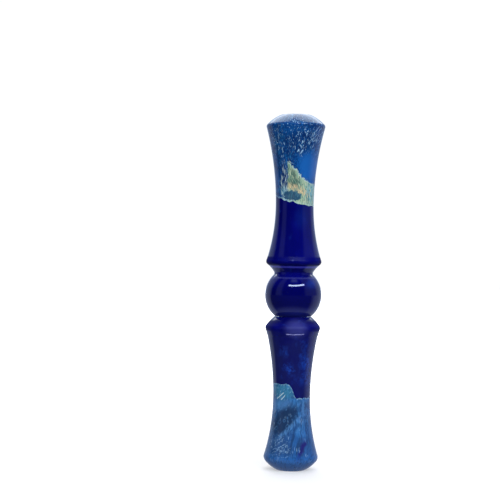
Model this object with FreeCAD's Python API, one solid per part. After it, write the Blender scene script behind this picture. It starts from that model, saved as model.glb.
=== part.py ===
# A double-reed duck call, turned from cast blanks of blue resin and dyed burl.
#
# The call stands on its bell end with its axis along +Z, and its origin is the centre of the foot
# ring that it stands on.  The lower half is the insert: a burl bell, a resin body with a tenon, and
# a toneboard that holds two reeds under a cork wedge.  The upper half is the barrel: a resin body
# with a round bead, and a burl lip that the hunter blows into.  The barrel pulls off upwards.
# The reeds face -Y.  All sizes are in millimetres.
import FreeCAD, Part
import math
import os

from FreeCAD import Vector

# ---- driving dimensions: the outside, each point a (radius, height) pair ----------------------
# A bulge is how far the middle of a round stretch stands off its chord: to the left of the way
# from its first point to its last where it is positive, to the right where it is negative.
OVERALL_LENGTH = 170.0
JOINT_HEIGHT = 73.4
JOINT_GAP = 0.2
JOINT_RADIUS = 8.9

FOOT_INNER_RADIUS = 5.7
FOOT_OUTER_RADIUS = 7.0
BELL_TURN = (12.1, 3.9)
BELL_RIM = (13.0, 6.4)
BELL_DOME_BULGE = -0.33
BELL_RIM_BULGE = -0.28
INSERT_WAIST = (8.9, 34.7)
SHOULDER_START = (11.95, 63.7)
SHOULDER_RIM = (13.15, 67.7)
SHOULDER_TOP = (12.5, 69.4)
SHOULDER_COVE_BULGE = -0.06
SHOULDER_RIM_BULGE = -0.2
SHOULDER_SLOPE_BULGE = -0.15

BEAD_RADIUS = 13.5
BEAD_HEIGHT = 83.7
NECK_RADIUS = 9.3
NECK_LENGTH = 1.0
NECK_COVE_BULGE = 0.2
FLARE_START = (12.45, 98.1)
FLARE_RIM = (13.0, 100.6)
FLARE_RIM_BULGE = -0.5
BARREL_WAIST = (9.13, 126.3)
LIP_RIM = (14.05, 163.7)
LIP_TURN = (13.55, 165.55)
LIP_CREST = (7.3, 169.85)
LIP_RIM_BULGE = -0.3
LIP_DOME_BULGE = -0.4
LIP_INNER_BULGE = -0.4

# ---- driving dimensions: bores and the tenon --------------------------------------------------
SOCKET_RADIUS = 6.35          # 1/2 in drill
SOCKET_TOP = 136.0
SOCKET_CHAMFER = 0.4
MOUTH_RADIUS = 5.55           # 7/16 in drill
LIP_ROUNDING = 1.5
EXHAUST_RADIUS = 4.75         # 3/8 in drill
BELL_INNER_BULGE = 0.28
EXHAUST_TOP = 66.0
STEM_RADIUS = 4.3

TENON_RADIUS = 6.25
TENON_LENGTH = 13.4
TENON_CHAMFER = 0.5
SEAL_CENTRES = (3.8, 9.4)     # heights above the tenon's shoulder
SEAL_GROOVE_WIDTH = 2.0
SEAL_GROOVE_RADIUS = 5.15
SEAL_CLEARANCE = 0.05         # radial, to the groove and to the barrel
SEAL_WIDTH = 1.75

# ---- driving dimensions: toneboard, reeds and wedge -------------------------------------------
COLLAR_RADIUS = 6.1
COLLAR_LENGTH = 9.0
BLADE_RADIUS = 5.8
BLADE_LENGTH = 28.0           # in front of the collar
BLADE_TIP_CORNER = 2.6
BOARD_PLANE = -1.6            # the flat that the reeds lie over
BOARD_CURVE_RADIUS = 500.0
CHANNEL_RADIUS = 2.4
CHANNEL_TIP_WALL = 4.0

REED_THICKNESS = 0.25
REED_WIDTH = 9.2
REED_TIP_CORNER = 2.2
REED_TO_BOARD = 0.2
REED_TO_REED = 0.25
REED_HEEL = 8.4               # the length held under the wedge
LONG_REED_FREE = 27.4         # the length in front of the collar
SHORT_REED_FREE = 22.0
DIMPLE_RADIUS = 0.9
DIMPLE_HEIGHT = 0.17          # how far it stands out towards the long reed
DIMPLE_FROM_TIP = 5.0

REED_SLOT_WIDTH = 9.6
SLOT_DEPTH = 8.6
WEDGE_WIDTH = 6.4
WEDGE_TO_REED = 0.3
WEDGE_CLEARANCE = 0.1
WEDGE_TOP = -4.5
WEDGE_NOSE = 1.2              # how far it stands out of the slot

# ---- driving dimensions: where the burl meets the resin ---------------------------------------
BARREL_EDGE_HEIGHT = 127.5    # at the middle of the front
BARREL_EDGE_SLOPE = -0.23     # falls towards +X
BARREL_EDGE_RISE = 0.08       # and rises towards the back
INSERT_EDGE_HEIGHT = 38.1
INSERT_EDGE_STEP = 3.4        # half the height of the step in the burl's broken edge
INSERT_EDGE_STEP_X = 0.35
INSERT_EDGE_STEP_SLANT = 0.22
INSERT_EDGE_STEP_WIDTH = 1.3
EDGE_REACH = 16.0
EDGE_SPACING = 1.0

# ---- worked out from them ---------------------------------------------------------------------
BARREL_BASE = JOINT_HEIGHT + JOINT_GAP / 2
SHOULDER_FACE = JOINT_HEIGHT - JOINT_GAP / 2
TENON_TOP = SHOULDER_FACE + TENON_LENGTH
COLLAR_TOP = TENON_TOP + COLLAR_LENGTH
BLADE_TOP = COLLAR_TOP + BLADE_LENGTH
SLOT_FLOOR_HEIGHT = COLLAR_TOP - SLOT_DEPTH
LONG_REED_TOP_FACE = BOARD_PLANE - REED_TO_BOARD - REED_THICKNESS
SHORT_REED_FACE = LONG_REED_TOP_FACE - REED_TO_REED
SHORT_REED_TOP_FACE = SHORT_REED_FACE - REED_THICKNESS
WEDGE_FACE = SHORT_REED_TOP_FACE - WEDGE_TO_REED
AXIS = Vector(0, 0, 1)


# ---- drawing helpers --------------------------------------------------------------------------
def on_profile(point):
    """A (radius, height) pair as a point in the XZ plane."""
    radius, height = point
    return Vector(radius, 0, height)


def straight(start, end):
    return Part.LineSegment(on_profile(start), on_profile(end)).toShape()


def curved(start, middle, end):
    return Part.Arc(on_profile(start), on_profile(middle), on_profile(end)).toShape()


def bulged(start, end, bulge):
    """An arc whose middle stands off the chord by the bulge."""
    along = Vector(end[0] - start[0], 0, end[1] - start[1]).normalize()
    middle = (
        (start[0] + end[0]) / 2 - bulge * along.z,
        (start[1] + end[1]) / 2 + bulge * along.x,
    )
    return curved(start, middle, end)


def waisted(waist, end):
    """An arc that runs parallel to the axis at the waist and reaches the end point."""
    widening = end[0] - waist[0]
    rise = end[1] - waist[1]
    radius = (widening ** 2 + rise ** 2) / (2 * widening)
    half_turn = math.asin(rise / radius) / 2
    middle = (
        waist[0] + radius * (1 - math.cos(half_turn)),
        waist[1] + radius * math.sin(half_turn),
    )
    return curved(waist, middle, end)


def turned(edges):
    """The solid swept by a closed outline as it turns about the axis."""
    wire = Part.Wire(Part.__sortEdges__(edges))
    return Part.Face(wire).revolve(Vector(0, 0, 0), AXIS, 360)


def block(x_half, y_low, y_high, z_low, z_high):
    """A box that is centred on x = 0."""
    corner = Vector(-x_half, y_low, z_low)
    return Part.makeBox(2 * x_half, y_high - y_low, z_high - z_low, corner)


def rod(radius, z_low, z_high):
    return Part.makeCylinder(radius, z_high - z_low, Vector(0, 0, z_low), AXIS)


def rounded_strip(half_width, corner, y_low, y_high, z_low, z_high):
    """A flat strip along Z whose two top corners are rounded."""
    strip = block(half_width, y_low, y_high, z_low, z_high)
    corners = []
    for edge in strip.Edges:
        ends = [vertex.Point for vertex in edge.Vertexes]
        along_y = abs(ends[0].y - ends[1].y) > (y_high - y_low) / 2
        at_top = min(end.z for end in ends) > z_high - 1e-6
        if along_y and at_top:
            corners.append(edge)
    return strip.makeFillet(corner, corners)


# ---- the broken edge where burl meets resin ---------------------------------------------------
def barrel_edge(x, y):
    """Height of the burl's lower edge in the barrel: a slanting, rippled break."""
    ripple = 0.3 * math.sin(1.15 * x + 0.5 * y + 0.7) + 0.22 * math.sin(0.8 * y - 1.9 * x)
    depth = y + BARREL_WAIST[0]
    return BARREL_EDGE_HEIGHT + BARREL_EDGE_SLOPE * x + BARREL_EDGE_RISE * depth + ripple


def insert_edge(x, y):
    """Height of the burl's upper edge in the insert: a high shelf that drops in one step."""
    step_x = INSERT_EDGE_STEP_X + INSERT_EDGE_STEP_SLANT * (y + INSERT_WAIST[0])
    across = (x - step_x) / INSERT_EDGE_STEP_WIDTH
    ripple = 0.3 * math.sin(0.95 * x - 0.4 * y) + 0.2 * math.sin(1.3 * y + 1.7 * x)
    return INSERT_EDGE_HEIGHT - INSERT_EDGE_STEP * math.tanh(across) + ripple


def above(edge_height, top):
    """The solid that lies over a broken edge, up to a height that clears the part."""
    count = round(2 * EDGE_REACH / EDGE_SPACING) + 1
    places = [-EDGE_REACH + EDGE_SPACING * index for index in range(count)]
    grid = [[Vector(x, y, edge_height(x, y)) for y in places] for x in places]
    surface = Part.BSplineSurface()
    surface.interpolate(grid)
    return surface.toShape().extrude(Vector(0, 0, top))


# ---- barrel -----------------------------------------------------------------------------------
def barrel_blank():
    """The whole barrel, burl and resin together, bored through."""
    bead_base_radius = math.sqrt(BEAD_RADIUS ** 2 - (BEAD_HEIGHT - BARREL_BASE) ** 2)
    neck_base = BEAD_HEIGHT + math.sqrt(BEAD_RADIUS ** 2 - NECK_RADIUS ** 2)
    neck_top = neck_base + NECK_LENGTH
    lip_inside = (MOUTH_RADIUS, OVERALL_LENGTH - LIP_ROUNDING)
    step_top = SOCKET_TOP + SOCKET_RADIUS - MOUTH_RADIUS
    return turned([
        straight((SOCKET_RADIUS + SOCKET_CHAMFER, BARREL_BASE), (bead_base_radius, BARREL_BASE)),
        curved((bead_base_radius, BARREL_BASE), (BEAD_RADIUS, BEAD_HEIGHT), (NECK_RADIUS, neck_base)),
        straight((NECK_RADIUS, neck_base), (NECK_RADIUS, neck_top)),
        bulged((NECK_RADIUS, neck_top), FLARE_START, NECK_COVE_BULGE),
        bulged(FLARE_START, FLARE_RIM, FLARE_RIM_BULGE),
        waisted(BARREL_WAIST, FLARE_RIM),
        waisted(BARREL_WAIST, LIP_RIM),
        bulged(LIP_RIM, LIP_TURN, LIP_RIM_BULGE),
        bulged(LIP_TURN, LIP_CREST, LIP_DOME_BULGE),
        bulged(LIP_CREST, lip_inside, LIP_INNER_BULGE),
        straight(lip_inside, (MOUTH_RADIUS, step_top)),
        straight((MOUTH_RADIUS, step_top), (SOCKET_RADIUS, SOCKET_TOP)),
        straight((SOCKET_RADIUS, SOCKET_TOP), (SOCKET_RADIUS, BARREL_BASE + SOCKET_CHAMFER)),
        straight(
            (SOCKET_RADIUS, BARREL_BASE + SOCKET_CHAMFER),
            (SOCKET_RADIUS + SOCKET_CHAMFER, BARREL_BASE),
        ),
    ])


def barrel_parts():
    blank = barrel_blank()
    over_edge = above(barrel_edge, OVERALL_LENGTH)
    return {
        "barrel_resin_body": blank.cut(over_edge),
        "barrel_burl_lip": blank.common(over_edge),
    }


# ---- insert -----------------------------------------------------------------------------------
def insert_blank():
    """The whole insert, burl and resin together, with its tenon, bored for the toneboard."""
    shoulder_edge = (JOINT_RADIUS, SHOULDER_FACE)
    tenon_edge = (TENON_RADIUS - TENON_CHAMFER, TENON_TOP)
    bell_inside = (EXHAUST_RADIUS, FOOT_INNER_RADIUS - EXHAUST_RADIUS)
    blank = turned([
        straight((FOOT_INNER_RADIUS, 0), (FOOT_OUTER_RADIUS, 0)),
        bulged((FOOT_OUTER_RADIUS, 0), BELL_TURN, BELL_DOME_BULGE),
        bulged(BELL_TURN, BELL_RIM, BELL_RIM_BULGE),
        waisted(INSERT_WAIST, BELL_RIM),
        waisted(INSERT_WAIST, SHOULDER_START),
        bulged(SHOULDER_START, SHOULDER_RIM, SHOULDER_COVE_BULGE),
        bulged(SHOULDER_RIM, SHOULDER_TOP, SHOULDER_RIM_BULGE),
        bulged(SHOULDER_TOP, shoulder_edge, SHOULDER_SLOPE_BULGE),
        straight(shoulder_edge, (TENON_RADIUS, SHOULDER_FACE)),
        straight((TENON_RADIUS, SHOULDER_FACE), (TENON_RADIUS, TENON_TOP - TENON_CHAMFER)),
        straight((TENON_RADIUS, TENON_TOP - TENON_CHAMFER), tenon_edge),
        straight(tenon_edge, (STEM_RADIUS, TENON_TOP)),
        straight((STEM_RADIUS, TENON_TOP), (STEM_RADIUS, EXHAUST_TOP)),
        straight((STEM_RADIUS, EXHAUST_TOP), (EXHAUST_RADIUS, EXHAUST_TOP)),
        straight((EXHAUST_RADIUS, EXHAUST_TOP), bell_inside),
        bulged(bell_inside, (FOOT_INNER_RADIUS, 0), BELL_INNER_BULGE),
    ])
    for centre in SEAL_CENTRES:
        low = SHOULDER_FACE + centre - SEAL_GROOVE_WIDTH / 2
        high = low + SEAL_GROOVE_WIDTH
        groove = rod(TENON_RADIUS + 1, low, high).cut(rod(SEAL_GROOVE_RADIUS, low, high))
        blank = blank.cut(groove)
    return blank


def insert_parts():
    blank = insert_blank()
    over_edge = above(insert_edge, OVERALL_LENGTH)
    return {
        "insert_resin_body": blank.common(over_edge),
        "insert_burl_bell": blank.cut(over_edge),
    }


def seal_ring(centre):
    """An O-ring as it sits squeezed in its groove: flat inside and outside, round at its ends."""
    inner = SEAL_GROOVE_RADIUS + SEAL_CLEARANCE
    outer = SOCKET_RADIUS - SEAL_CLEARANCE
    middle = (inner + outer) / 2
    height = SHOULDER_FACE + centre
    low = height - (SEAL_WIDTH - (outer - inner)) / 2
    high = 2 * height - low
    return turned([
        straight((inner, low), (inner, high)),
        curved((inner, high), (middle, height + SEAL_WIDTH / 2), (outer, high)),
        straight((outer, high), (outer, low)),
        curved((outer, low), (middle, height - SEAL_WIDTH / 2), (inner, low)),
    ])


# ---- toneboard --------------------------------------------------------------------------------
def board_curve():
    """What is cut away over the blade, so that its face falls away from the reeds to the tip."""
    drop = BLADE_LENGTH ** 2 / (2 * BOARD_CURVE_RADIUS)
    half_drop = (BLADE_LENGTH / 2) ** 2 / (2 * BOARD_CURVE_RADIUS)
    far = -2 * BLADE_RADIUS
    root = Vector(0, BOARD_PLANE, COLLAR_TOP)
    middle = Vector(0, BOARD_PLANE + half_drop, COLLAR_TOP + BLADE_LENGTH / 2)
    tip = Vector(0, BOARD_PLANE + drop, BLADE_TOP)
    corners = [tip, Vector(0, far, BLADE_TOP), Vector(0, far, COLLAR_TOP), root]
    edges = [Part.Arc(root, middle, tip).toShape()]
    for start, end in zip(corners, corners[1:]):
        edges.append(Part.LineSegment(start, end).toShape())
    side = Part.Face(Part.Wire(edges))
    side.translate(Vector(-2 * BLADE_RADIUS, 0, 0))
    return side.extrude(Vector(4 * BLADE_RADIUS, 0, 0))


def toneboard():
    stem = rod(STEM_RADIUS, EXHAUST_TOP, TENON_TOP)
    collar = rod(COLLAR_RADIUS, TENON_TOP, COLLAR_TOP)
    tip_shape = rounded_strip(
        BLADE_RADIUS, BLADE_TIP_CORNER, -BLADE_RADIUS, BLADE_RADIUS, COLLAR_TOP, BLADE_TOP
    )
    blade = rod(BLADE_RADIUS, COLLAR_TOP, BLADE_TOP).common(tip_shape).cut(board_curve())
    board = stem.fuse([collar, blade])

    reed_slot = block(REED_SLOT_WIDTH / 2, WEDGE_FACE, BOARD_PLANE, SLOT_FLOOR_HEIGHT, COLLAR_TOP)
    wedge_slot = block(
        WEDGE_WIDTH / 2 + WEDGE_CLEARANCE,
        WEDGE_TOP - WEDGE_CLEARANCE,
        BOARD_PLANE,
        SLOT_FLOOR_HEIGHT,
        COLLAR_TOP,
    )
    channel_top = BLADE_TOP - CHANNEL_TIP_WALL - CHANNEL_RADIUS
    hole = rod(CHANNEL_RADIUS, EXHAUST_TOP, channel_top)
    trough = block(CHANNEL_RADIUS, -BLADE_RADIUS, 0, COLLAR_TOP, channel_top)
    covered_trough = block(CHANNEL_RADIUS, BOARD_PLANE, 0, SLOT_FLOOR_HEIGHT, COLLAR_TOP)
    end = Part.makeSphere(CHANNEL_RADIUS, Vector(0, 0, channel_top))
    end_opening = Part.makeCylinder(
        CHANNEL_RADIUS, BLADE_RADIUS, Vector(0, 0, channel_top), Vector(0, -1, 0)
    )
    for hollow in (reed_slot, wedge_slot, hole, trough, covered_trough, end, end_opening):
        board = board.cut(hollow)
    return board.removeSplitter()


# ---- reeds and wedge --------------------------------------------------------------------------
def reed(face, free_length):
    """A flat strip of film whose underside is at y = face."""
    low = COLLAR_TOP - REED_HEEL
    high = COLLAR_TOP + free_length
    return rounded_strip(
        REED_WIDTH / 2, REED_TIP_CORNER, face - REED_THICKNESS, face, low, high
    )


def short_reed():
    """The upper reed, pressed in at one spot so that it can't stick to the lower one."""
    height = COLLAR_TOP + SHORT_REED_FREE - DIMPLE_FROM_TIP
    bump_radius = (DIMPLE_RADIUS ** 2 + DIMPLE_HEIGHT ** 2) / (2 * DIMPLE_HEIGHT)
    bump_centre = Vector(0, SHORT_REED_FACE + DIMPLE_HEIGHT - bump_radius, height)
    bump = Part.makeSphere(bump_radius, bump_centre)
    hollow = Part.makeSphere(bump_radius, bump_centre - Vector(0, REED_THICKNESS, 0))
    reach = 2 * DIMPLE_RADIUS
    under = block(reach, SHORT_REED_FACE, SHORT_REED_FACE + 1, height - reach, height + reach)
    return reed(SHORT_REED_FACE, SHORT_REED_FREE).fuse(bump.common(under)).cut(hollow)


def reed_wedge():
    """The cork block, with its back and front edges eased so that it starts into the slot."""
    low = SLOT_FLOOR_HEIGHT + WEDGE_CLEARANCE
    wedge = block(WEDGE_WIDTH / 2, WEDGE_TOP, WEDGE_FACE, low, COLLAR_TOP + WEDGE_NOSE)
    across = []
    for edge in wedge.Edges:
        ends = [vertex.Point for vertex in edge.Vertexes]
        along_x = abs(ends[0].x - ends[1].x) > WEDGE_WIDTH / 2
        if along_x and max(end.y for end in ends) < WEDGE_FACE - 0.5:
            across.append(edge)
    return wedge.makeChamfer(0.3, across)


# ---- write one STEP file per piece ------------------------------------------------------------
def pieces():
    found = {}
    found.update(barrel_parts())
    found.update(insert_parts())
    found["lower_seal_ring"] = seal_ring(SEAL_CENTRES[0])
    found["upper_seal_ring"] = seal_ring(SEAL_CENTRES[1])
    found["toneboard"] = toneboard()
    found["long_reed"] = reed(BOARD_PLANE - REED_TO_BOARD, LONG_REED_FREE)
    found["short_reed"] = short_reed()
    found["reed_wedge"] = reed_wedge()
    return found


os.makedirs("parts", exist_ok=True)
for name, shape in pieces().items():
    shape.exportStep(f"parts/{name}.step")
    print(name, shape.ShapeType, len(shape.Solids), shape.isValid(), round(shape.Volume, 1))
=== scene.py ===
# The duck call's looks: polished blue resin, dyed burl, reeds, cork, rubber, a pale studio floor.
# Lengths are in metres.  Inside a material they are in millimetres, in the call's own frame:
# +Z runs up the axis, and the side that the camera sees is -Y.
# A place on the burl or the resin is written (x, z), as seen from the front.
import math

import bmesh
import bpy
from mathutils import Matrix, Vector, noise


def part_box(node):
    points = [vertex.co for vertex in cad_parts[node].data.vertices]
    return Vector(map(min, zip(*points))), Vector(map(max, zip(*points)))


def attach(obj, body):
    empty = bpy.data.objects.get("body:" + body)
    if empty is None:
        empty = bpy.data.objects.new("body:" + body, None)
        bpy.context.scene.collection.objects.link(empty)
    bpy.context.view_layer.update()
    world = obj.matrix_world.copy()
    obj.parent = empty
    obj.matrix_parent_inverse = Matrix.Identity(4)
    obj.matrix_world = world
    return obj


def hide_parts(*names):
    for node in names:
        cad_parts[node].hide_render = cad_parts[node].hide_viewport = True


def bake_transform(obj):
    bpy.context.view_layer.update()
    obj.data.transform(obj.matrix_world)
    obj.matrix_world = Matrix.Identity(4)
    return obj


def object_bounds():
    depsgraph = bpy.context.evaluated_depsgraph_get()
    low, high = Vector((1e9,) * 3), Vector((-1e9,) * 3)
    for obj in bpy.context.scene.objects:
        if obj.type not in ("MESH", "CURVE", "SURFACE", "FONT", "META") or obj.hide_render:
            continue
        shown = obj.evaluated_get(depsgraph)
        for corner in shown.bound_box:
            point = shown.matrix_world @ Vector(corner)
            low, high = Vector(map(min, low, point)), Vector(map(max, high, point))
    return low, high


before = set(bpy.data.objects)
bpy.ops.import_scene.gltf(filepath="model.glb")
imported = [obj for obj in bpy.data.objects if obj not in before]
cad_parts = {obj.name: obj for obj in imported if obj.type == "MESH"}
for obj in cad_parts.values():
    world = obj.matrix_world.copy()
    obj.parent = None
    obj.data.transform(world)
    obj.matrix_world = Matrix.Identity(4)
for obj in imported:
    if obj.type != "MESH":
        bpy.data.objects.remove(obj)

cad_low, cad_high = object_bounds()

# ---- driving values: the broken edges where burl meets resin, as the part's own edges run --------
BARREL_WAIST_RADIUS = 9.13
BARREL_EDGE_HEIGHT = 127.5
BARREL_EDGE_SLOPE = -0.23
BARREL_EDGE_RISE = 0.08
INSERT_WAIST_RADIUS = 8.9
INSERT_EDGE_HEIGHT = 38.1
INSERT_EDGE_STEP = 3.4
INSERT_EDGE_STEP_X = 0.35
INSERT_EDGE_STEP_SLANT = 0.22
INSERT_EDGE_STEP_WIDTH = 1.3
GRAIN_RADIUS = 11.0           # where the grain's widths are true; it spreads with the flares

# ---- driving values: colours, linear ------------------------------------------------------------
# painted shade on the resin: the front of the ball, and the top of the lower part by the joint
RESIN_PAINTED_SHADE = (0.0004, 0.0008, 0.060)
RESIN_DEEP = (0.0006, 0.0010, 0.076)
RESIN_BLUE = (0.0012, 0.0018, 0.102)
RESIN_MILKY = (0.0054, 0.0076, 0.073)
# painted light low in the bead
RESIN_PAINTED_GLOW = (0.0100, 0.0160, 0.150)
RESIN_WISP = (0.008, 0.045, 0.30)
# painted highlights on the resin
RESIN_PAINTED_HIGHLIGHT = (0.040, 0.044, 0.19)
# a painted reflection line under the flare
RESIN_PAINTED_REFLECTION = (0.050, 0.050, 0.46)
# the smudges in the lower resin: the middle and half size of each, and how strong it is
RESIN_SMUDGES = (
    ((-1.8, 48.9), (1.7, 2.2), 0.80),
    ((6.0, 52.0), (2.2, 3.2), 0.75),
    ((6.3, 44.5), (2.2, 3.4), 0.50),
    ((-3.9, 57.3), (1.7, 2.0), 0.40),
    ((5.6, 59.5), (1.5, 2.4), 0.35),
)

UPPER_DEEP = (0.0010, 0.030, 0.126)
UPPER_MID = (0.002, 0.062, 0.24)
UPPER_LIGHT = (0.006, 0.125, 0.36)
UPPER_ROYAL = (0.009, 0.100, 0.34)
UPPER_NAVY = (0.001, 0.014, 0.075)
UPPER_TEAL = (0.010, 0.11, 0.26)
UPPER_FOAM = (0.035, 0.19, 0.37)
DOME_TEAL = (0.030, 0.10, 0.17)

LOWER_DEEP = (0.018, 0.055, 0.15)
LOWER_MID = (0.030, 0.133, 0.31)
LOWER_LIGHT = (0.075, 0.21, 0.42)
LOWER_ROYAL = (0.015, 0.095, 0.285)
LOWER_NAVY = (0.010, 0.026, 0.066)
LOWER_SEA = (0.040, 0.19, 0.27)
LOWER_VIOLET = (0.012, 0.011, 0.10)

FLECK_PALE = (0.34, 0.56, 0.72)
STROKE_PALE = (0.55, 0.70, 0.66)
CREAM = (0.47, 0.51, 0.32)
CREAM_GREEN = (0.22, 0.36, 0.24)
CREAM_SHADE = (0.030, 0.080, 0.068)
CREAM_PEACH = (0.68, 0.44, 0.22)
CREAM_SEA = (0.13, 0.34, 0.40)
BLOB_TEAL = (0.007, 0.047, 0.105)
RIM_PALE = (0.36, 0.56, 0.58)

IVORY_DARK = (0.60, 0.55, 0.43)
IVORY_LIGHT = (0.72, 0.68, 0.57)
RUBBER_BLACK = (0.008, 0.008, 0.009)
RUBBER_DUST = (0.035, 0.034, 0.033)
FILM_BLUE = (0.56, 0.68, 0.80)
FILM_PALE = (0.74, 0.83, 0.90)
CORK_DARK = (0.30, 0.16, 0.07)
CORK_LIGHT = (0.52, 0.33, 0.17)
CORK_SEAM = (0.13, 0.06, 0.03)
CORK_SPECK = (0.07, 0.03, 0.015)
WHITE = (1.0, 1.0, 1.0)

# ---- driving values: camera and light -----------------------------------------------------------
CAMERA_DISTANCE = 0.624
CAMERA_HEIGHT = 0.1048
CAMERA_OFFSET = -0.0211
CAMERA_ROLL = math.radians(0.94)
VIEW_WIDTH = 0.240            # what the frame spans at the call's axis

FLOOR_SIZE = 6.0
FLOOR_COLOUR = (0.53, 0.50, 0.455)
FLOOR_LIFT = 0.36             # emission near the call, so that the floor photographs as white
FLOOR_FAR_LIFT = 0.8          # what is added to it far away, where the lamps reach less
FLOOR_FAR = (60.0, 400.0)     # mm from the axis: where that starts, and where it is full
TABLE_GLOW = 0.36             # the lit floor, as reflections see it
TABLE_FAR_GLOW = 0.06
TABLE_SIDE_GLOW = 0.52        # the floor beside and behind the call
TABLE_RIGHT = (66.0, 104.0)   # degrees from the camera's way, where that light comes in
TABLE_LEFT = (100.0, 118.0)
TABLE_TINT = (0.86, 1.0, 1.35)
TABLE_EDGE = (105.0, 40.0)    # mm from the axis: where the glow fades out, and where it is full
FRONT_LINE_RADIUS = 94.8      # mm from the axis: a bright line on the table in front
FRONT_LINE_BOW = 0.0019       # mm further out for each square mm to the side
FRONT_LINE_HALF_WIDTH = 1.5
FRONT_LINE_ENDS = (-52.0, 84.0)
FRONT_LINE_FROM = (60.0, 70.0)    # mm: only reflections in the shoulder, between these heights, see it
FRONT_LINE_GLOW = 8.0
FRONT_LINE_TINT = (0.85, 0.90, 1.60)

ROOM_TINT = (0.82, 1.0, 1.30)
ROOM_GLOW = 0.17
ROOM_DARK = 0.010
ROOM_SIDE_TINT = (0.85, 1.0, 1.9)
ROOM_FRONT = (-51.0, 48.0)    # degrees from the camera's way that stay dark
ROOM_GAP = (-104.0, -78.0)    # the dark gap between the left panel and the backdrop
FLANK_GLOW = 0.32             # the pale sides of the studio
FLANK_TURN = (100.0, 120.0)
WALL_GLOW = 0.75              # the wall behind, above WALL_RISE
WALL_TURN = 135.0             # degrees each side of the camera's way where the wall starts
WALL_RISE = (14.0, 30.0)      # degrees above the horizon
BACKDROP_GLOW = 0.85          # the white paper straight behind
BACKDROP_TURN = 160.0
STRIP_RISE = (36.0, 42.0)     # the strip lamp in front
STRIP_TURN = (-25.0, 54.0)
STRIP_GLOW = 17.0
SKYLIGHT_RISE = (54.0, 68.0)  # a dim soft light above it
SKYLIGHT_TURN = (-18.0, 24.0)
SKYLIGHT_GLOW = 0.6

# a light's place, its width and height, how bright it is, and whether reflections see it
LIGHTS = {
    "overhead": ((0.0, 0.66, 1.05), (1.5, 1.15), 1.7, True),
    "front_left_fill": ((-0.8, -1.1, 0.5), (0.9, 0.9), 4.5, False),
    "front_right_fill": ((0.8, -1.1, 0.5), (0.9, 0.9), 4.5, False),
    "back_fill": ((0.0, 1.4, 0.6), (1.4, 0.9), 3.0, False),
}


# ---- shader helpers -----------------------------------------------------------------------------
class Field:
    """A number, colour or vector that a material works out at each point."""

    def __init__(self, shader, socket):
        self.shader = shader
        self.socket = socket

    def __add__(self, other):
        return self.shader.math("ADD", self, other)

    def __sub__(self, other):
        return self.shader.math("SUBTRACT", self, other)

    def __mul__(self, other):
        return self.shader.math("MULTIPLY", self, other)

    def __truediv__(self, other):
        return self.shader.math("DIVIDE", self, other)

    def __radd__(self, other):
        return self.shader.math("ADD", other, self)

    def __rsub__(self, other):
        return self.shader.math("SUBTRACT", other, self)

    def __rmul__(self, other):
        return self.shader.math("MULTIPLY", other, self)


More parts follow.
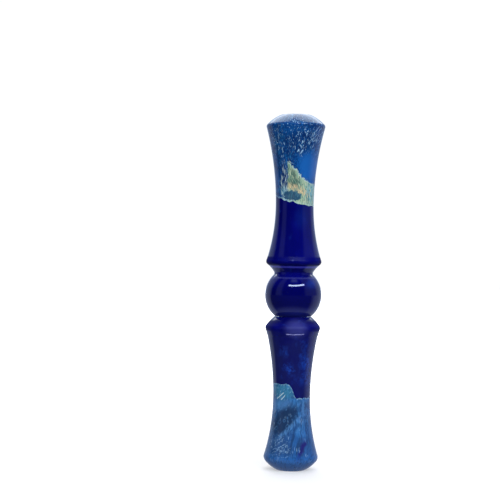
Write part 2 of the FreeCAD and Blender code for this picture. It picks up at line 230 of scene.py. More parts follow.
class Shader:
    """The nodes of a material or of the world, with the few operations that they are written in."""

    def __init__(self, owner, coordinates, scale):
        self.owner = owner
        owner.use_nodes = True
        self.tree = owner.node_tree
        self.tree.nodes.clear()
        source = self.node("ShaderNodeTexCoord")
        scaled = self.node("ShaderNodeVectorMath", operation="SCALE")
        self.tree.links.new(source.outputs[coordinates], scaled.inputs[0])
        scaled.inputs["Scale"].default_value = scale
        parts = self.node("ShaderNodeSeparateXYZ")
        self.tree.links.new(scaled.outputs[0], parts.inputs[0])
        self.x, self.y, self.z = (Field(self, output) for output in parts.outputs)
        self.place = Field(self, scaled.outputs[0])
        rays = self.node("ShaderNodeLightPath")
        camera_ray = Field(self, rays.outputs["Is Camera Ray"])
        through_ray = Field(self, rays.outputs["Is Transmission Ray"])
        self.seen_straight = self.math("MAXIMUM", camera_ray, through_ray)
        self.ray_length = Field(self, rays.outputs["Ray Length"])

    def node(self, kind, **settings):
        """A new node of this kind, with the settings that its inputs don't cover."""
        made = self.tree.nodes.new(kind)
        for name, value in settings.items():
            setattr(made, name, value)
        return made

    def put(self, value, socket):
        """Links a field into an input, or writes a plain number or colour there."""
        if isinstance(value, Field):
            self.tree.links.new(value.socket, socket)
        elif socket.type == "RGBA" and len(value) == 3:
            socket.default_value = (*value, 1.0)
        else:
            socket.default_value = value

    def math(self, operation, *values):
        made = self.node("ShaderNodeMath", operation=operation)
        for value, socket in zip(values, made.inputs):
            self.put(value, socket)
        return Field(self, made.outputs[0])

    def vector(self, x, y, z):
        made = self.node("ShaderNodeCombineXYZ")
        for value, socket in zip((x, y, z), made.inputs):
            self.put(value, socket)
        return Field(self, made.outputs[0])

    def ramp(self, value, low, high):
        """0 below low, 1 above high, and smooth between them."""
        made = self.node("ShaderNodeMapRange", interpolation_type="SMOOTHSTEP")
        for name, number in (("Value", value), ("From Min", low), ("From Max", high)):
            self.put(number, made.inputs[name])
        return Field(self, made.outputs["Result"])

    def mix(self, amount, first, second):
        """The first colour where amount is 0, the second where it is 1."""
        made = self.node("ShaderNodeMix", data_type="RGBA")
        self.put(amount, made.inputs[0])
        self.put(first, made.inputs[6])
        self.put(second, made.inputs[7])
        return Field(self, made.outputs[2])

    def noise(self, place, scale, detail=3.0, roughness=0.5, distortion=0.0):
        """Smooth random variation between 0 and 1."""
        made = self.node("ShaderNodeTexNoise")
        self.put(place, made.inputs["Vector"])
        for name, number in (
            ("Scale", scale), ("Detail", detail), ("Roughness", roughness), ("Distortion", distortion),
        ):
            made.inputs[name].default_value = number
        return Field(self, made.outputs["Fac"])

    def cells(self, place, scale=1.0):
        """The distance to the nearest cell's middle, and that cell's own random number."""
        made = self.node("ShaderNodeTexVoronoi")
        self.put(place, made.inputs["Vector"])
        made.inputs["Scale"].default_value = scale
        return Field(self, made.outputs["Distance"]), Field(self, made.outputs["Color"])

    def bump(self, height, depth):
        """A surface relief, with its depth in millimetres."""
        made = self.node("ShaderNodeBump")
        made.inputs["Strength"].default_value = 1.0
        made.inputs["Distance"].default_value = depth / 1000.0
        self.put(height, made.inputs["Height"])
        return Field(self, made.outputs[0])

    def window(self, value, low, high, softness):
        """1 between low and high, 0 outside them, with soft sides."""
        opens = self.ramp(value, low - softness, low + softness)
        return opens * self.ramp(value, high + softness, high - softness)

    def spot(self, x, z, middle, size, soft, lean=0.0):
        """1 well inside an upright ellipse in the XZ plane, 0 outside it."""
        along = z - middle[1]
        across = (x - middle[0] - lean * along) / size[0]
        along = along / size[1]
        distance = self.math("SQRT", across * across + along * along)
        return self.ramp(distance, 1.0 + soft, 1.0 - soft)

    def principled(self, **inputs):
        """The surface shader; an underscore in an input's name stands for a space."""
        surface = self.node("ShaderNodeBsdfPrincipled")
        for name, value in inputs.items():
            self.put(value, surface.inputs[name.replace("_", " ")])
        return surface

    def finish(self, **inputs):
        """The finished material, with this surface."""
        output = self.node("ShaderNodeOutputMaterial")
        self.tree.links.new(self.principled(**inputs).outputs[0], output.inputs[0])
        return self.owner

    def glossy(self, colour, gloss, ripple, coat=1.0, **inputs):
        """A coloured body under a clear polished coat that ripples very slightly."""
        return self.finish(
            Base_Color=colour,
            Roughness=0.5,
            Specular_IOR_Level=0.0,
            Coat_Weight=coat,
            Coat_Roughness=gloss,
            Coat_IOR=1.5,
            Coat_Normal=self.bump(self.noise(self.place, 0.38, 2.0), ripple),
            **inputs,
        )


def material_shader(name):
    """A material in the call's own frame, in millimetres."""
    return Shader(bpy.data.materials.new(name), "Object", 1000.0)


# ---- blue resin -----------------------------------------------------------------------------------
def resin_clouds(s):
    """Slow smoke in the cast resin: how blue it is at each point."""
    drift = s.noise(s.place, 0.07, 2.0)
    return s.noise(s.vector(s.x, s.y, s.z * 0.7 + drift * 5.0), 0.10, 3.0, 0.5, 0.6)


def resin_wisps(s, share):
    """Small smoky patches of a brighter blue, thinned out until only a share of them is left."""
    patches = s.noise(s.vector(s.x, s.y, s.z * 0.75), 0.21, 3.0, 0.5, 0.5)
    inside = s.noise(s.place, 0.6, 4.0, 0.6)
    return s.ramp(patches, 0.78 - 0.30 * share, 0.90 - 0.20 * share) * s.ramp(inside, 0.25, 0.65)


def resin_ground(s):
    """The colour of the plain casting, and the clouds in it."""
    clouds = resin_clouds(s)
    return s.mix(s.ramp(clouds, 0.36, 0.66), RESIN_DEEP, RESIN_BLUE), clouds


def upper_resin():
    """Deep and even, with two faint smudges on its right; painted shade on the ball's front, painted
    light low in the bead, painted highlights at the crown and the rim, and a painted reflection line
    under the flare.
    """
    s = material_shader("upper_resin")
    colour, clouds = resin_ground(s)
    colour = s.mix(resin_wisps(s, 0.55) * 0.30, colour, RESIN_WISP)
    front = s.ramp(s.y, 0.0, -6.0)
    smudge = s.spot(s.x, s.z, (8.3, 88.6), (2.2, 2.6), 0.7) * front
    colour = s.mix(smudge * 0.35, colour, RESIN_WISP)
    cloud = s.spot(s.x + clouds * 3.0, s.z, (4.6, 120.5), (2.8, 4.5), 0.8) * front
    colour = s.mix(cloud * 0.12, colour, RESIN_WISP)
    # painted highlight: a small glint on the flare's rim
    glint = s.spot(s.x, s.z, (-1.0, 100.2), (0.5, 0.4), 0.5) * front
    colour = s.mix(glint * 0.6, colour, RESIN_PAINTED_HIGHLIGHT)
    # painted shade: the front of the ball's lower half is darkened
    belly_painted_shade = s.window(s.z, 78.0, 88.0, 2.0) * front
    colour = s.mix(belly_painted_shade * 0.85, colour, RESIN_PAINTED_SHADE)
    # painted light: the bead is lighter low down, where reflected floor light falls
    painted_glow_low = s.ramp(s.z, 78.5, 75.5) * 0.6
    colour = s.mix(painted_glow_low, colour, RESIN_PAINTED_GLOW)
    # painted highlight along the ball's crown
    colour = s.mix(s.window(s.z, 91.5, 92.2, 0.25) * 0.4, colour, RESIN_PAINTED_HIGHLIGHT)
    # painted reflection: a light line on the flare's underside, where the floor reflects
    painted_reflection_line = s.window(s.z, 96.6, 97.5, 0.25)
    colour = s.mix(painted_reflection_line * 0.9, colour, RESIN_PAINTED_REFLECTION)
    worn = s.window(s.z, 97.8, 101.8, 0.5)
    return s.glossy(colour, 0.03 + 0.22 * worn, 0.010, coat=1.0 - 0.85 * worn)


def lower_resin():
    """A milkier pour below the joint, with five blue smudges on its front, painted shade at its top by
    the joint, and a painted highlight on its shoulder.
    """
    s = material_shader("lower_resin")
    colour, clouds = resin_ground(s)
    # painted shade: the top of the lower resin, by the joint between the parts, is darkened
    colour = s.mix(s.ramp(s.z, 69.6, 71.2) * 0.9, colour, RESIN_PAINTED_SHADE)
    milk = s.ramp(s.z, 69.5, 60.0)
    colour = s.mix(milk * s.ramp(clouds, 0.2, 0.6), colour, RESIN_MILKY)
    colour = s.mix(resin_wisps(s, 0.75) * 0.32, colour, RESIN_WISP)
    ragged = (s.noise(s.place, 0.45, 4.0, 0.65) - 0.5) * 7.0
    broken = s.ramp(s.noise(s.place, 0.8, 4.0, 0.6), 0.35, 0.60)
    front = s.ramp(s.y, 0.0, -5.0)
    for middle, size, strength in RESIN_SMUDGES:
        smudge = s.spot(s.x + ragged, s.z - ragged, middle, size, 0.9) * broken
        colour = s.mix(smudge * front * strength, colour, RESIN_WISP)
    # painted highlight: a light patch on the front of the shoulder
    painted_highlight_patch = s.spot(s.x, s.z, (1.3, 68.2), (4.6, 3.6), 0.6) * front
    colour = s.mix(painted_highlight_patch * 0.60, colour, RESIN_PAINTED_HIGHLIGHT)
    worn = s.window(s.z, 66.6, 71.5, 0.5)
    return s.glossy(colour, 0.03 + 0.22 * worn, 0.010, coat=1.0 - 0.75 * worn)


# ---- dyed burl --------------------------------------------------------------------------------------
class Burl:
    """Blue-dyed burl under a clear gloss finish, painted in layers from the ground up."""

    def __init__(self, name, deep, mid, light):
        s = material_shader(name)
        self.s = s
        self.front = s.ramp(s.y, 3.5, -1.5)
        self.turn = s.math("ARCTAN2", s.x, s.y * -1.0)
        self.bend = (s.noise(s.place, 0.11, 3.0) - 0.5) * 5.0
        ragged = (s.noise(s.place, 0.42, 5.0, 0.65) - 0.5) * 3.6
        self.x = s.x + ragged
        self.z = s.z + ragged
        swirl = s.noise(s.place, 0.15, 4.0, 0.6, 1.3)
        self.fibres = s.noise(self.along_grain(1.1, 5.0), 1.0, 6.0, 0.66)
        self.colour = s.mix(s.ramp(swirl, 0.38, 0.58), deep, mid)
        self.paint(s.ramp(self.fibres, 0.50, 0.40) * 0.75, deep)
        self.paint(s.ramp(self.fibres, 0.53, 0.65) * 0.45, light)
        hairs = s.noise(self.along_grain(0.35, 3.2), 1.0, 4.0, 0.6)
        self.paint(s.ramp(hairs, 0.48, 0.38) * 0.45, deep)
        self.paint(s.ramp(hairs, 0.56, 0.66) * 0.30, light)

    def along_grain(self, width, length, lean=0.0):
        """The place, stretched along the grain so that one unit is width across and length along."""
        s = self.s
        turn = self.turn + (self.bend - s.z * lean) / GRAIN_RADIUS
        reach = GRAIN_RADIUS / width
        return s.vector(s.math("SINE", turn) * reach, s.math("COSINE", turn) * reach, s.z / length)

    def paint(self, amount, colour):
        self.colour = self.s.mix(amount, self.colour, colour)

    def ellipse(self, middle, size, lean=0.0, soft=0.3):
        """1 well inside a ragged ellipse on the front, 0 outside it."""
        return self.s.spot(self.x, self.z, middle, size, soft, lean) * self.front

    def line(self, start, end, width):
        """1 on a ragged straight stroke across the front, 0 away from it."""
        run = (end[0] - start[0], end[1] - start[1])
        length = math.hypot(*run)
        unit = (run[0] / length, run[1] / length)
        from_x = self.x - start[0]
        from_z = self.z - start[1]
        along = from_x * unit[0] + from_z * unit[1]
        off = self.s.math("ABSOLUTE", from_z * unit[0] - from_x * unit[1])
        within = self.s.window(along, 0.0, length, width)
        return self.s.ramp(off, width, width * 0.2) * within * self.front

    def flecks(self, width, length, share, lean=0.0):
        """Short strokes along the grain, in a share of its long thin cells."""
        s = self.s
        distance, chance = s.cells(self.along_grain(width, length, lean))
        return s.ramp(distance, 0.48, 0.20) * s.ramp(chance, 0.95 - share, 1.05 - share)

    def eyes(self, size):
        """Small round knots: their dark middles and the pale rings round them."""
        s = self.s
        distance, chance = s.cells(self.along_grain(size, size * 1.25))
        chosen = s.ramp(chance, 0.35, 0.5)
        middle = s.ramp(distance, 0.30, 0.15) * chosen
        ring = s.window(distance, 0.33, 0.43, 0.06) * chosen
        return middle, ring

    def finish(self, coat=1.0):
        return self.s.glossy(self.colour, 0.04, 0.012, coat, Normal=self.s.bump(self.fibres, 0.03))


def barrel_edge(s):
    """Height of the barrel burl's broken lower edge."""
    ripple = 0.3 * s.math("SINE", 1.15 * s.x + 0.5 * s.y + 0.7)
    ripple = ripple + 0.22 * s.math("SINE", 0.8 * s.y - 1.9 * s.x)
    depth = s.y + BARREL_WAIST_RADIUS
    return BARREL_EDGE_HEIGHT + BARREL_EDGE_SLOPE * s.x + BARREL_EDGE_RISE * depth + ripple


def insert_edge(s):
    """Height of the insert burl's broken upper edge."""
    step_x = INSERT_EDGE_STEP_X + INSERT_EDGE_STEP_SLANT * (s.y + INSERT_WAIST_RADIUS)
    step = s.math("TANH", (s.x - step_x) / INSERT_EDGE_STEP_WIDTH)
    ripple = 0.3 * s.math("SINE", 0.95 * s.x - 0.4 * s.y)
    ripple = ripple + 0.2 * s.math("SINE", 1.3 * s.y + 1.7 * s.x)
    return INSERT_EDGE_HEIGHT - INSERT_EDGE_STEP * step + ripple


def undyed_patch(burl):
    """The cream triangle over the lip's broken edge: where it is, and its streaked colours."""
    s = burl.s
    steep_top = 146.9 - 1.10 * (burl.x + 3.3)
    shallow_top = 138.9 - 0.62 * (burl.x - 4.5)
    sloping_top = s.ramp(s.math("MAXIMUM", steep_top, shallow_top) - burl.z, -0.3, 0.5)
    right_of_side = s.ramp(burl.x, -4.2, -3.4)
    where = sloping_top * right_of_side * burl.front
    streaks = s.noise(burl.along_grain(0.7, 2.4, -0.25), 1.0, 5.0, 0.7)
    colour = s.mix(s.ramp(streaks, 0.46, 0.60), CREAM_GREEN, CREAM)
    dark_streaks = s.noise(burl.along_grain(0.60, 4.2, -0.22), 1.0, 4.0, 0.65)
    thick_of_it = burl.ellipse((-1.4, 139.5), (3.2, 6.0), -0.35, soft=0.6)
    colour = s.mix(s.ramp(dark_streaks, 0.42, 0.50) * thick_of_it * 0.85, colour, CREAM_SHADE)
    peach = s.math(
        "MAXIMUM",
        burl.ellipse((-1.8, 135.3), (2.6, 1.3), -0.5, soft=0.7),
        burl.ellipse((3.4, 132.6), (2.2, 2.0), -0.7, soft=0.7),
    )
    colour = s.mix(peach * s.ramp(streaks, 0.40, 0.56) * 0.72, colour, CREAM_PEACH)
    sea = burl.ellipse((7.6, 132.5), (2.6, 5.0), soft=0.6)
    colour = s.mix(sea * s.ramp(streaks, 0.60, 0.48) * 0.75, colour, CREAM_SEA)
    lower_marks = burl.ellipse((1.4, 135.0), (4.6, 2.8), -0.5, soft=0.6)
    colour = s.mix(burl.flecks(0.34, 1.5, 0.55, -0.3) * lower_marks * 0.75, colour, CREAM_SHADE)
    foot = burl.ellipse((3.5, 129.6), (4.5, 1.8), -0.3, soft=0.6)
    colour = s.mix(foot * s.ramp(dark_streaks, 0.50, 0.42) * 0.8, colour, CREAM_SHADE)
    edge = s.window(s.math("MAXIMUM", steep_top, shallow_top) - burl.z, -0.1, 0.7, 0.3)
    colour = s.mix(edge * 0.45, colour, STROKE_PALE)
    dots, chance = s.cells(burl.along_grain(0.8, 1.3, -0.4))
    colour = s.mix(s.ramp(dots, 0.44, 0.2) * s.ramp(chance, 0.50, 0.60) * 0.75, colour, CREAM_SHADE)
    return where, colour


def frayed_rim(burl, past_edge, reach, scale, whole, strength):
    """A pale broken line where the burl ends, past_edge being how far into the burl a point is."""
    s = burl.s
    frayed = s.ramp(s.noise(s.place, scale, 3.0, 0.7), 0.46, whole)
    burl.paint(s.ramp(past_edge, reach, 0.1) * frayed * strength, RIM_PALE)


def barrel_ground(burl):
    """Deep blue, darker in the middle and mottled above, with one smooth royal field."""
    s = burl.s
    teal = s.ramp(s.noise(s.place, 0.22, 4.0, 0.6, 0.8), 0.52, 0.66)
    burl.paint(teal * 0.55, UPPER_TEAL)
    dark_middle = burl.ellipse((0.2, 155.5), (6.4, 5.4), soft=0.6)
    dark_strokes = burl.flecks(0.6, 2.6, 0.8)
    burl.paint(dark_middle * 0.8, UPPER_DEEP)
    burl.paint(dark_strokes * (0.45 + 0.45 * dark_middle), UPPER_NAVY)
    smooth = burl.ellipse((6.4, 144.5), (4.6, 7.2), soft=0.45)
    speckle = s.noise(burl.along_grain(0.50, 1.1), 1.0, 3.0, 0.7)
    mottled = s.ramp(s.z, 138.0, 146.0) * (1.0 - smooth)
    burl.paint(s.ramp(speckle, 0.50, 0.40) * mottled * 0.85, UPPER_NAVY)
    burl.paint(s.ramp(speckle, 0.57, 0.68) * mottled * 0.50, UPPER_FOAM)
    dome = s.ramp(s.z, 164.6, 166.4)
    burl.paint(dome * 0.7, DOME_TEAL)
    burl.paint(dome * s.ramp(burl.fibres, 0.52, 0.42) * 0.5, UPPER_NAVY)
    burl.paint(smooth * 0.9, UPPER_ROYAL)
    upper_left = burl.ellipse((-2.8, 162.4), (4.2, 3.0), soft=0.5)
    burl.paint(upper_left * 0.5, UPPER_MID)
    return dark_middle, smooth


def barrel_flecks(burl, dark_middle, smooth):
    """Pale and navy strokes, close together at the top and left, none in the smooth field."""
    s = burl.s
    open_grain = s.ramp(s.noise(s.place, 0.16, 3.0, 0.6), 0.46, 0.60) * (1.0 - smooth)
    burl.paint(burl.flecks(0.34, 0.9, 0.30) * open_grain * (1.0 - 0.6 * dark_middle) * 0.75, FLECK_PALE)
    top = s.ramp(s.z, 155.0, 158.0)
    burl.paint(burl.flecks(0.42, 1.1, 0.85) * top * 0.70, UPPER_NAVY)
    burl.paint(burl.flecks(0.28, 0.7, 0.20) * top * 0.90, FLECK_PALE)
    middle_strokes = burl.ellipse((3.2, 157.0), (5.2, 5.4), 0.2, soft=0.5)
    burl.paint(burl.flecks(0.55, 2.0, 0.70, 0.25) * middle_strokes * 0.60, UPPER_NAVY)
    burl.paint(burl.flecks(0.36, 1.5, 0.42, 0.25) * middle_strokes * 0.80, FLECK_PALE)
    right_strokes = burl.ellipse((9.6, 159.5), (2.8, 5.5), 0.3, soft=0.5)
    burl.paint(burl.flecks(0.36, 2.0, 0.60, 0.45) * right_strokes * 0.8, FLECK_PALE)
    for middle in ((1.0, 152.3), (2.5, 151.6)):
        burl.paint(burl.ellipse(middle, (0.30, 0.6), 0.3, soft=0.5) * 0.75, FLECK_PALE)
    upper_left_strokes = burl.ellipse((-6.6, 155.0), (3.0, 7.0), -0.2, soft=0.5)
    burl.paint(burl.flecks(0.45, 2.2, 0.55, -0.20) * upper_left_strokes * 0.6, FLECK_PALE)
    left_strokes = burl.ellipse((-5.4, 136.0), (1.7, 9.0), -0.05, soft=0.4)
    burl.paint(left_strokes * 0.75, UPPER_NAVY)
    burl.paint(burl.flecks(0.38, 4.6, 0.90, -0.04) * left_strokes, STROKE_PALE)
    burl.paint(burl.flecks(0.28, 2.2, 0.60, 0.10) * left_strokes * 0.6, STROKE_PALE)


def barrel_patch(burl):
    """The cream patch, with sea-green wood to its left and a dark blob at its foot."""
    s = burl.s
    where, colour = undyed_patch(burl)
    fine = (s.noise(s.place, 0.9, 4.0, 0.6) - 0.5) * 4.0
    blob = s.spot(s.x + fine, s.z + fine, (-1.3, 130.9), (4.0, 2.3), 0.35, -0.3) * burl.front
    burl.paint(where, colour)
    beside_blob = burl.ellipse((-5.0, 131.5), (1.5, 3.6), -0.15, soft=0.4)
    burl.paint(beside_blob * 0.5, CREAM_SEA)
    burl.paint(burl.flecks(0.40, 2.6, 0.85, -0.1) * beside_blob * 0.9, STROKE_PALE)
    burl.paint(s.ramp(blob, 0.2, 0.6) * 0.92, BLOB_TEAL)
    burl.paint(blob * s.ramp(burl.fibres, 0.52, 0.62) * 0.25, CREAM_SEA)


def barrel_burl():
    """The lip's burl: deep blue with fine flecks, one smooth royal field, and a cream patch."""
    burl = Burl("barrel_burl", UPPER_DEEP, UPPER_MID, UPPER_LIGHT)
    s = burl.s
    dark_middle, smooth = barrel_ground(burl)
    barrel_flecks(burl, dark_middle, smooth)
    barrel_patch(burl)
    frayed_rim(burl, s.z - barrel_edge(s), 1.1, 1.3, 0.58, 0.8)
    pitted = s.spot(burl.x, burl.z, (-1.2, 165.6), (2.4, 1.8), 0.5) * burl.front
    burl.paint(pitted * 0.6, UPPER_DEEP)
    burl.paint(burl.flecks(0.30, 0.6, 0.45) * pitted, FLECK_PALE)
    return burl.finish(coat=1.0 - 0.65 * pitted)


def insert_ground(burl):
    """Grey blue with long streaks, and a deeper blue low down on the right."""
    s = burl.s
    low_down = s.ramp(s.z, 24.0, 9.0)
    burl.paint(low_down * (0.35 + 0.45 * s.ramp(burl.x, -4.0, 2.0)), LOWER_ROYAL)
    burl.paint(low_down * s.ramp(s.z, 20.0, 14.0) * 0.55, LOWER_DEEP)
    streaks = s.noise(burl.along_grain(0.8, 7.0, 0.12), 1.0, 5.0, 0.65)
    burl.paint(s.ramp(streaks, 0.50, 0.40) * (0.5 + 0.3 * low_down), LOWER_NAVY)
    burl.paint(burl.flecks(0.9, 4.0, 0.6, 0.15) * 0.45, LOWER_DEEP)
    smooth_left = burl.ellipse((-5.2, 31.5), (4.6, 2.6), 0.2, soft=0.6)
    burl.paint(smooth_left * 0.5, LOWER_LIGHT)


def insert_figure(burl):
    """A dark knotty field, a pale band under it, scaly dashes, and a violet streak."""
    s = burl.s
    knots = burl.ellipse((-3.4, 24.3), (5.0, 7.4), 0.48, soft=0.35)
    burl.paint(knots * 0.93, LOWER_NAVY)
    middle, ring = burl.eyes(2.0)
    near_knots = burl.ellipse((-3.8, 24.0), (6.4, 9.0), 0.2, soft=0.4)
    burl.paint(ring * near_knots * 0.35, LOWER_LIGHT)
    burl.paint(middle * near_knots * 0.7, LOWER_NAVY)
    band = burl.line((5.8, 27.5), (-8.6, 13.6), 1.5) * s.ramp(burl.fibres, 0.36, 0.56)
    burl.paint(band * 0.6, LOWER_LIGHT)

    dashes = burl.ellipse((-5.4, 11.6), (4.8, 5.6), -0.2, soft=0.45)
    burl.paint(dashes * 0.65, LOWER_DEEP)
    scales, chance = s.cells(s.vector(burl.x / 1.3, s.y / 1.3, burl.z / 0.65))
    burl.paint(s.ramp(scales, 0.50, 0.20) * s.ramp(chance, 0.25, 0.4) * dashes * 0.34, FLECK_PALE)
    violet = burl.line((2.6, 5.4), (6.4, 14.6), 1.7)
    burl.paint(violet * s.ramp(burl.fibres, 0.80, 0.56), LOWER_VIOLET)
    burl.paint(burl.line((5.1, 28.0), (5.5, 34.0), 1.0) * 0.55, LOWER_LIGHT)


def insert_top_and_foot(burl):
    """The sea-green patch with its two pale scratches, and the darker foot."""
    s = burl.s
    open_grain = s.ramp(s.noise(s.place, 0.14, 3.0, 0.6), 0.48, 0.62)
    burl.paint(burl.flecks(0.6, 2.6, 0.5, 0.1) * open_grain * 0.35, FLECK_PALE)
    sea = burl.ellipse((-4.6, 38.0), (5.6, 3.6), soft=0.45)
    burl.paint(sea * 0.6, LOWER_SEA)
    burl.paint(burl.flecks(0.8, 1.8, 0.7, 0.4) * sea * 0.55, LOWER_DEEP)
    burl.paint(burl.flecks(0.5, 1.6, 0.4, 0.8) * sea * 0.4, FLECK_PALE)
    for start, end in (((-7.1, 34.3), (-3.9, 37.6)), ((-5.0, 34.2), (-3.4, 36.3))):
        burl.paint(burl.line(start, end, 0.32) * 0.65, STROKE_PALE)

    burl.paint(s.ramp(s.z, 10.0, 6.0) * 0.6, LOWER_ROYAL)
    burl.paint(burl.flecks(0.7, 1.6, 0.75, 0.2) * s.ramp(s.z, 16.0, 8.0) * 0.55, LOWER_NAVY)


def insert_burl():
    """The bell's burl: greyer, with a dark knotty field, scaly dashes, and a violet streak."""
    burl = Burl("insert_burl", LOWER_DEEP, LOWER_MID, LOWER_LIGHT)
    s = burl.s
    insert_ground(burl)
    insert_figure(burl)
    insert_top_and_foot(burl)
    frayed_rim(burl, insert_edge(s) - s.z, 1.0, 1.2, 0.60, 0.55)
    return burl.finish()


# ---- toneboard, rubber, film and cork ---------------------------------------------------------------
def acetal():
    """Ivory plastic with fine tool marks round it."""
    s = material_shader("acetal")
    blotch = s.noise(s.place, 0.35, 4.0, 0.6)
    marks = s.math("SINE", s.z * 16.0 + blotch * 3.0)
    scuffs = s.noise(s.vector(s.x * 3.0, s.y * 3.0, s.z * 0.4), 1.0, 4.0, 0.65)
    return s.finish(
        Base_Color=s.mix(s.ramp(blotch, 0.35, 0.65), IVORY_DARK, IVORY_LIGHT),
        Roughness=0.28 + 0.22 * scuffs,
        Subsurface_Weight=0.15,
        Subsurface_Radius=(0.0012, 0.0010, 0.0008),
        Normal=s.bump(marks + scuffs * 2.0, 0.004),
    )


def nitrile():
    """Matt black seal rubber with a trace of dust."""
    s = material_shader("nitrile")
    dust = s.ramp(s.noise(s.place, 1.6, 5.0, 0.7), 0.52, 0.75)
    return s.finish(
        Base_Color=s.mix(dust, RUBBER_BLACK, RUBBER_DUST),
        Roughness=0.38 + 0.25 * dust,
        Normal=s.bump(s.noise(s.place, 2.5, 4.0, 0.6), 0.01),
    )


def film():
    """Frosted polyester film, finely brushed along the reed."""
    s = material_shader("film")
    brushed = s.noise(s.vector(s.x * 9.0, s.y, s.z * 0.5), 1.0, 4.0, 0.6)
    haze = s.noise(s.place, 0.4, 3.0, 0.5)
    return s.finish(
        Base_Color=s.mix(haze, FILM_BLUE, FILM_PALE),
        Roughness=0.20 + 0.25 * brushed,
        Transmission_Weight=0.45,
        IOR=1.5,
        Normal=s.bump(brushed, 0.003),
    )


def cork():
    """Pressed cork: tan granules, dark seams between them, and brown specks."""
    s = material_shader("cork")
    distance, chance = s.cells(s.place, 1.1)
    grains = s.mix(s.ramp(chance, 0.25, 0.75), CORK_DARK, CORK_LIGHT)
    seams = s.ramp(distance, 0.50, 0.72)
    specks = s.ramp(s.noise(s.place, 2.2, 4.0, 0.7), 0.60, 0.70)
    colour = s.mix(seams * 0.6, grains, CORK_SEAM)
    colour = s.mix(specks * 0.8, colour, CORK_SPECK)
    return s.finish(
        Base_Color=colour,
        Roughness=0.85,
        Normal=s.bump(s.noise(s.place, 2.4, 4.0, 0.65) - seams * 0.4 - specks * 0.6, 0.10),
    )


# ---- reeds and cork wedge, built in mesh code ---------------------------------------------------------
REED_TIP_CORNER = 0.0022
REED_CORNER_STEPS = 12
REED_EDGE_BEVEL = 0.00005
REED_ROWS = 64
REED_COLUMNS = 24
DIMPLE_RADIUS = 0.0009
DIMPLE_FROM_TIP = 0.005

CORK_STEP = 0.00030
CORK_ROUNDING = 0.00035
CORK_PIT = 0.00016
CORK_ROUGHNESS = 900.0        # lumps per metre
CORK_PITTING = 2100.0         # pits per metre


def link_piece(name, mesh, material, node):
    """Puts a new piece in place of a CAD node."""
    piece = bpy.data.objects.new(name, mesh)
    bpy.context.scene.collection.objects.link(piece)
    mesh.materials.append(material)
    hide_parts(node)
    return piece


def reed_outline(low, high):
    """Half widths and heights up a reed, closer together where its tip rounds off."""
    half = (high.x - low.x) / 2
    corner_from = high.z - REED_TIP_CORNER
    rows = [(half, low.z + (corner_from - low.z) * i / REED_ROWS) for i in range(REED_ROWS)]
    for i in range(REED_CORNER_STEPS + 1):
        angle = math.pi / 2 * i / REED_CORNER_STEPS
        inset = REED_TIP_CORNER * (1 - math.cos(angle))
        rows.append((half - inset, corner_from + REED_TIP_CORNER * math.sin(angle)))
    return rows


def make_reed(name, node, thickness, dimple_depth, material):
    """A strip of film with eased edges; its dimple is pressed through it towards the board."""
    low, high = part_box(node)
    back = low.y
    dimple_height = high.z - DIMPLE_FROM_TIP

    def skin(x, z, depth):
        """A point in the film at a share of its thickness, 0 on the camera's side."""
        near = max(0.0, 1.0 - (x * x + (z - dimple_height) ** 2) / DIMPLE_RADIUS ** 2)
        return (x, back + thickness * depth + dimple_depth * near, z)

    bm = bmesh.new()
    rings = []
    for half, z in reed_outline(low, high):
        inner = half - REED_EDGE_BEVEL
        across = [inner * (2 * i / REED_COLUMNS - 1) for i in range(REED_COLUMNS + 1)]
        ring = [bm.verts.new(skin(-half, z, 0.5))]
        ring += [bm.verts.new(skin(x, z, 0.0)) for x in across]
        ring += [bm.verts.new(skin(half, z, 0.5))]
        ring += [bm.verts.new(skin(x, z, 1.0)) for x in reversed(across)]
        rings.append(ring)
    for below, above in zip(rings, rings[1:]):
        for i in range(len(below)):
            j = (i + 1) % len(below)
            bm.faces.new((below[i], below[j], above[j], above[i]))
    for ring in (rings[0], rings[-1]):
        bm.faces.new((ring[0], ring[1], ring[-1]))
        for i in range(1, REED_COLUMNS + 1):
            bm.faces.new((ring[i], ring[i + 1], ring[-i - 1], ring[-i]))
        bm.faces.new((ring[REED_COLUMNS + 1], ring[REED_COLUMNS + 2], ring[REED_COLUMNS + 3]))
    bmesh.ops.recalc_face_normals(bm, faces=bm.faces)
    mesh = bpy.data.meshes.new(name)
    bm.to_mesh(mesh)
    bm.free()
    return link_piece(name, mesh, material, node)


def make_wedge():
    """The cork block: a fine grid on all sides, rounded at its edges and pitted inwards."""
    low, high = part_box("reed_wedge")
    middle = (low + high) / 2
    half = (high - low) / 2
    bm = bmesh.new()
    bmesh.ops.create_cube(bm, size=2.0)
    for axis in range(3):
        cuts = round(2 * half[axis] / CORK_STEP)
        along = [
            edge for edge in bm.edges
            if abs(edge.verts[0].co[axis] - edge.verts[1].co[axis]) > 1.0
        ]
        bmesh.ops.subdivide_edges(bm, edges=along, cuts=cuts, use_grid_fill=True)
    for vert in bm.verts:
        place = Vector(vert.co[i] * half[i] for i in range(3))
        core = Vector(
            max(-half[i] + CORK_ROUNDING, min(half[i] - CORK_ROUNDING, place[i])) for i in range(3)
        )
        away = place - core
        if away.length > 1e-9:
            out = away.normalized()
            rough = 0.5 + 0.5 * noise.noise(place * CORK_ROUGHNESS)
            pits = max(0.0, noise.noise(place * CORK_PITTING) - 0.15)
            place = core + out * (CORK_ROUNDING - CORK_PIT * (0.35 * rough + 1.3 * pits))
        vert.co = middle + place
    bmesh.ops.recalc_face_normals(bm, faces=bm.faces)
    mesh = bpy.data.meshes.new("cork_wedge")
    bm.to_mesh(mesh)
    bm.free()
    for face in mesh.polygons:
        face.use_smooth = True
    wedge = link_piece("cork_wedge", mesh, cork(), "reed_wedge")
    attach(wedge, "reed_wedge")


def dress(node, material):
    """Puts a material on a carried-over CAD node, whose shape stays as it is."""
    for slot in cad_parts[node].material_slots:
        slot.material = material


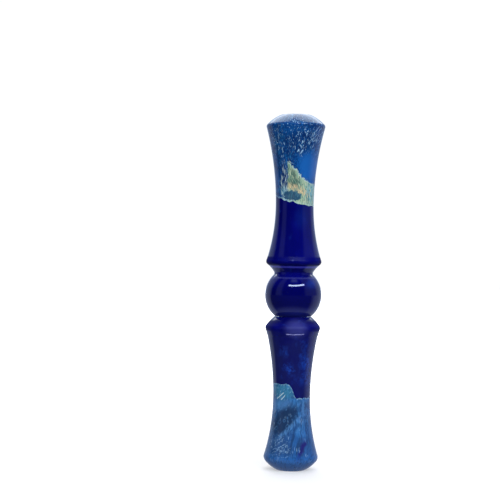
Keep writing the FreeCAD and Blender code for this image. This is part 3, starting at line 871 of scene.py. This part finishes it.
def make_reeds():
    """Both reeds, built in film in place of their CAD nodes."""
    low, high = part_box("long_reed")
    thickness = high.y - low.y
    short_low, short_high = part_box("short_reed")
    dimple_depth = (short_high.y - short_low.y) - thickness
    material = film()
    for body, depth in (("long_reed", 0.0), ("short_reed", dimple_depth)):
        reed = make_reed("film_" + body, body, thickness, depth, material)
        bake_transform(reed)


dress("barrel_resin_body", upper_resin())
dress("insert_resin_body", lower_resin())
dress("barrel_burl_lip", barrel_burl())
dress("insert_burl_bell", insert_burl())
dress("toneboard", acetal())
rubber = nitrile()
dress("lower_seal_ring", rubber)
dress("upper_seal_ring", rubber)
make_reeds()
make_wedge()


# ---- floor, room, lights and camera -------------------------------------------------------------------
def turn_of(s):
    """Degrees round the axis from the camera's way, to the right."""
    return s.math("ARCTAN2", s.x, s.y * -1.0) * math.degrees(1.0)


def front_line(s, distance):
    """1 on a thin bowed line in front of the call, for rays that come down from its shoulder."""
    arriving = s.node("ShaderNodeNewGeometry")
    slope = s.node("ShaderNodeSeparateXYZ")
    s.tree.links.new(arriving.outputs["Incoming"], slope.inputs[0])
    came_from = Field(s, slope.outputs[2]) * s.ray_length * 1000.0
    seeing = s.window(came_from, *FRONT_LINE_FROM, 1.0)
    off = s.math("ABSOLUTE", distance - s.x * s.x * FRONT_LINE_BOW - FRONT_LINE_RADIUS)
    across = s.ramp(off, FRONT_LINE_HALF_WIDTH + 0.5, FRONT_LINE_HALF_WIDTH - 0.5)
    in_front = s.ramp(s.y, 0.0, -20.0)
    return across * s.window(s.x, *FRONT_LINE_ENDS, 5.0) * seeing * in_front


def make_floor():
    """A wide pale floor.  Seen straight it is near white; in reflections it is a dim table top."""
    mesh = bpy.data.meshes.new("floor")
    half = FLOOR_SIZE / 2
    mesh.from_pydata(
        [(-half, -half, 0), (half, -half, 0), (half, half, 0), (-half, half, 0)],
        [],
        [(0, 1, 2, 3)],
    )
    floor = bpy.data.objects.new("floor", mesh)
    bpy.context.scene.collection.objects.link(floor)
    s = material_shader("pale_floor")
    distance = s.math("SQRT", s.x * s.x + s.y * s.y)
    seen = s.principled(
        Base_Color=FLOOR_COLOUR,
        Roughness=0.9,
        Specular_IOR_Level=0.0,
        Emission_Color=WHITE,
        Emission_Strength=FLOOR_LIFT + FLOOR_FAR_LIFT * s.ramp(distance, *FLOOR_FAR),
    )
    lit = TABLE_FAR_GLOW + (TABLE_GLOW - TABLE_FAR_GLOW) * s.ramp(distance, *TABLE_EDGE)
    turn = turn_of(s)
    beside = s.math("MAXIMUM", s.ramp(turn, *TABLE_RIGHT), s.ramp(turn * -1.0, *TABLE_LEFT))
    lit = s.math("MAXIMUM", lit, beside * TABLE_SIDE_GLOW)
    line = front_line(s, distance)
    reflected = s.node("ShaderNodeEmission")
    s.put(s.mix(line, TABLE_TINT, FRONT_LINE_TINT), reflected.inputs["Color"])
    s.put(lit + line * FRONT_LINE_GLOW, reflected.inputs["Strength"])
    both = s.node("ShaderNodeMixShader")
    s.put(s.seen_straight, both.inputs[0])
    s.tree.links.new(reflected.outputs[0], both.inputs[1])
    s.tree.links.new(seen.outputs[0], both.inputs[2])
    output = s.node("ShaderNodeOutputMaterial")
    s.tree.links.new(both.outputs[0], output.inputs[0])
    mesh.materials.append(s.owner)


def make_room():
    """White where the camera sees it.  In reflections it is a dim room, dark in front, with a strip
    lamp and a skylight above the camera, pale sides, and a wall and white paper behind the call."""
    world = bpy.data.worlds.new("room")
    bpy.context.scene.world = world
    s = Shader(world, "Generated", 1.0)
    turn = turn_of(s)
    rise = s.math("ARCSINE", s.z) * math.degrees(1.0)
    front = s.window(turn, *ROOM_FRONT, 7.0)
    gap = s.window(turn, *ROOM_GAP, 6.0)
    dark = s.math("MAXIMUM", front, gap)
    behind = s.ramp(s.math("ABSOLUTE", turn), WALL_TURN - 10.0, WALL_TURN + 10.0)
    flank = s.ramp(s.math("ABSOLUTE", turn), *FLANK_TURN)
    wall = s.math("MAXIMUM", behind * s.ramp(rise, *WALL_RISE) * WALL_GLOW, flank * FLANK_GLOW)
    paper = s.ramp(s.math("ABSOLUTE", turn), BACKDROP_TURN - 8.0, BACKDROP_TURN + 8.0) * BACKDROP_GLOW
    skylight = s.window(turn, *SKYLIGHT_TURN, 9.0) * s.window(rise, *SKYLIGHT_RISE, 6.0)
    strip = s.window(turn, *STRIP_TURN, 3.0) * s.window(rise, *STRIP_RISE, 0.7)
    glow = ROOM_GLOW * (1.0 - dark) + ROOM_DARK + s.math("MAXIMUM", wall, paper)
    glow = glow + strip * STRIP_GLOW + skylight * SKYLIGHT_GLOW
    seen = s.math("MAXIMUM", glow, s.seen_straight)
    tint = s.mix((1.0 - dark) * (1.0 - flank), ROOM_TINT, ROOM_SIDE_TINT)
    background = s.node("ShaderNodeBackground")
    s.put(s.mix(s.seen_straight, tint, WHITE), background.inputs["Color"])
    s.put(seen, background.inputs["Strength"])
    output = s.node("ShaderNodeOutputWorld")
    s.tree.links.new(background.outputs[0], output.inputs[0])


def add_light(name, place, size, glow, reflected):
    """A softbox that faces the call; glow is its brightness, as the white of the picture counts."""
    width, height = size
    light = bpy.data.lights.new(name, "AREA")
    light.shape = "RECTANGLE"
    light.size = width
    light.size_y = height
    light.energy = glow * math.pi * width * height
    lamp = bpy.data.objects.new(name, light)
    lamp.location = place
    aim = Vector((0.0, 0.0, (cad_low.z + cad_high.z) / 2))
    lamp.rotation_euler = (aim - Vector(place)).to_track_quat("-Z", "Y").to_euler()
    lamp.visible_glossy = reflected
    lamp.visible_camera = False
    bpy.context.scene.collection.objects.link(lamp)


def make_camera():
    """Level with the call, a little to its left, and rolled slightly."""
    data = bpy.data.cameras.new("camera")
    data.sensor_width = 36.0
    data.lens = data.sensor_width * CAMERA_DISTANCE / VIEW_WIDTH
    camera = bpy.data.objects.new("camera", data)
    camera.location = (CAMERA_OFFSET, -CAMERA_DISTANCE, CAMERA_HEIGHT)
    camera.rotation_euler = (math.pi / 2, 0.0, 0.0)
    camera.rotation_euler.rotate_axis("Z", CAMERA_ROLL)
    bpy.context.scene.collection.objects.link(camera)
    bpy.context.scene.camera = camera


make_floor()
make_room()
for light_name, light_values in LIGHTS.items():
    add_light(light_name, *light_values)
make_camera()
bpy.context.scene.view_settings.view_transform = "Standard"
